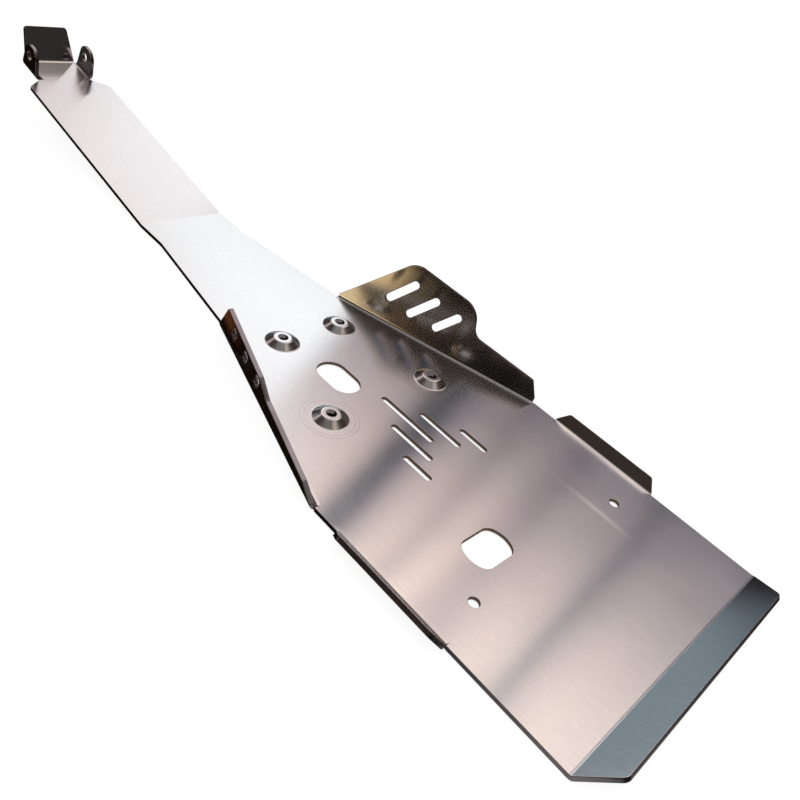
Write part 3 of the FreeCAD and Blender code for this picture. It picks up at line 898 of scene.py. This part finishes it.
# the noises lie round a half, so half of what they add is taken off first
rough = aluminium["roughness"] - (aluminium["grainRoughness"] + aluminium["cloudRoughness"]) / 2
for share, name in ((onFlap, "flapRoughness"), (onDimple, "pressedRoughness"), (onLip, "lipRoughness")):
    rough = metal.figure("MULTIPLY_ADD", share, aluminium[name] - aluminium["roughness"], rough)
rough = metal.figure("MULTIPLY_ADD", grain, aluminium["grainRoughness"], rough)
rough = metal.figure("MULTIPLY_ADD", clouds, aluminium["cloudRoughness"], rough)
metal.feed(looks["Roughness"], rough)
looks["Anisotropic"].default_value = aluminium["brushed"]
looks["Anisotropic Rotation"].default_value = aluminium["brushedTurn"]
metal.feed(looks["Tangent"], metal.add("ShaderNodeCombineXYZ", {0: 1.0}).outputs[0])

# heights in millimetres: the waviness, the tool's rings and a crease beside the right screw hole
creaseX, creaseY = aluminium["crease"]
creaseHalf = aluminium["creaseWidth"] / 2
crease = metal.product(
    metal.ease(hereY, (creaseY - creaseHalf) * mm, (creaseY + creaseHalf) * mm),
    bell(metal.figure("SUBTRACT", hereX, (creaseX + zeroX) * mm), aluminium["creaseLength"] * mm))
heights = metal.figure("MULTIPLY", waves, aluminium["waveDepth"])
heights = metal.figure("MULTIPLY_ADD", rings, -aluminium["toolMarkDepth"], heights)
heights = metal.figure("MULTIPLY_ADD", crease, -aluminium["creaseDepth"], heights)
waveBump = metal.add("ShaderNodeBump", {"Height": heights, "Distance": mm, "Strength": 1.0}).outputs[0]
grainBump = metal.add("ShaderNodeBump", {
    "Height": grain, "Normal": waveBump, "Distance": aluminium["grainDepth"] * mm, "Strength": 1.0,
}).outputs[0]
metal.feed(looks["Normal"], grainBump)

# the laser-cut edge: bright and dark patches with fine burrs
edge, looks = startMaterial("cutEdge")
here = edge.add("ShaderNodeTexCoord").outputs["Object"]
burrs = edge.noise(here, cutEdge["burrScale"], detail=3.0)
patches = edge.noise(here, cutEdge["patchScale"], detail=3.0)
edge.feed(looks["Base Color"], edge.blend(patches, cutEdge["dark"], cutEdge["colour"]))
looks["Metallic"].default_value = 1.0
edge.feed(looks["Roughness"], edge.figure("MULTIPLY_ADD", burrs, cutEdge["burrRoughness"], cutEdge["roughness"]))
edgeBump = edge.add("ShaderNodeBump", {
    "Height": burrs, "Distance": cutEdge["burrDepth"] * mm, "Strength": cutEdge["burrStrength"],
})
edge.feed(looks["Normal"], edgeBump.outputs[0])

# the walls of the holes: a painted shade above and a painted reflection of the pale floor at the foot
wall, looks = startMaterial("holeWall")
here = wall.add("ShaderNodeTexCoord").outputs["Object"]
hereZ = wall.add("ShaderNodeSeparateXYZ", {0: here}).outputs[2]
burrs = wall.noise(here, bore["burrScale"], detail=3.0)
# where the painted reflection of the floor takes over from the painted shade, by height up the wall
height = wall.ease(hereZ, (bore["paintedLightBelow"] - bore["fade"]) * mm, (bore["paintedLightBelow"] + bore["fade"]) * mm)
wall.feed(looks["Base Color"], wall.blend(height, bore["foot"], bore["paintedShadeTop"]))
wall.feed(looks["Roughness"], wall.figure("MULTIPLY_ADD", burrs, bore["burrRoughness"], bore["roughness"]))
looks["Metallic"].default_value = 0.0

# under the dimples the floor's glow and grey are taken away, a painted shade seen through the bores, and seen from
# below it is clear, so the underside can be looked at
pale = Nodes(floorMaterial.node_tree)
here = pale.add("ShaderNodeTexCoord").outputs["Object"]
outsidePaintedShade = 1.0
# the floor is made dark round each dimple's place: painted shade
for x, y in dimple["places"]:
    away = pale.distance(here, ((x + zeroX) * mm, y * mm, 0))
    outsidePaintedShade = pale.product(pale.figure("GREATER_THAN", away, floor["paintedShadeRadius"]), outsidePaintedShade)
pale.feed(floorShader.inputs["Emission Strength"], pale.figure("MULTIPLY", outsidePaintedShade, floor["glow"]))
pale.feed(floorShader.inputs["Base Color"], pale.figure("MULTIPLY", outsidePaintedShade, floor["grey"]))
fromBelow = pale.add("ShaderNodeNewGeometry").outputs["Backfacing"]
clear = pale.add("ShaderNodeBsdfTransparent").outputs[0]
either = pale.add("ShaderNodeMixShader", {"Fac": fromBelow, 1: floorShader.outputs[0], 2: clear})
pale.feed(pale.tree.nodes["Material Output"].inputs["Surface"], either.outputs[0])
print("materials set")

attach(skid, "root")
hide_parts("skid_plate")
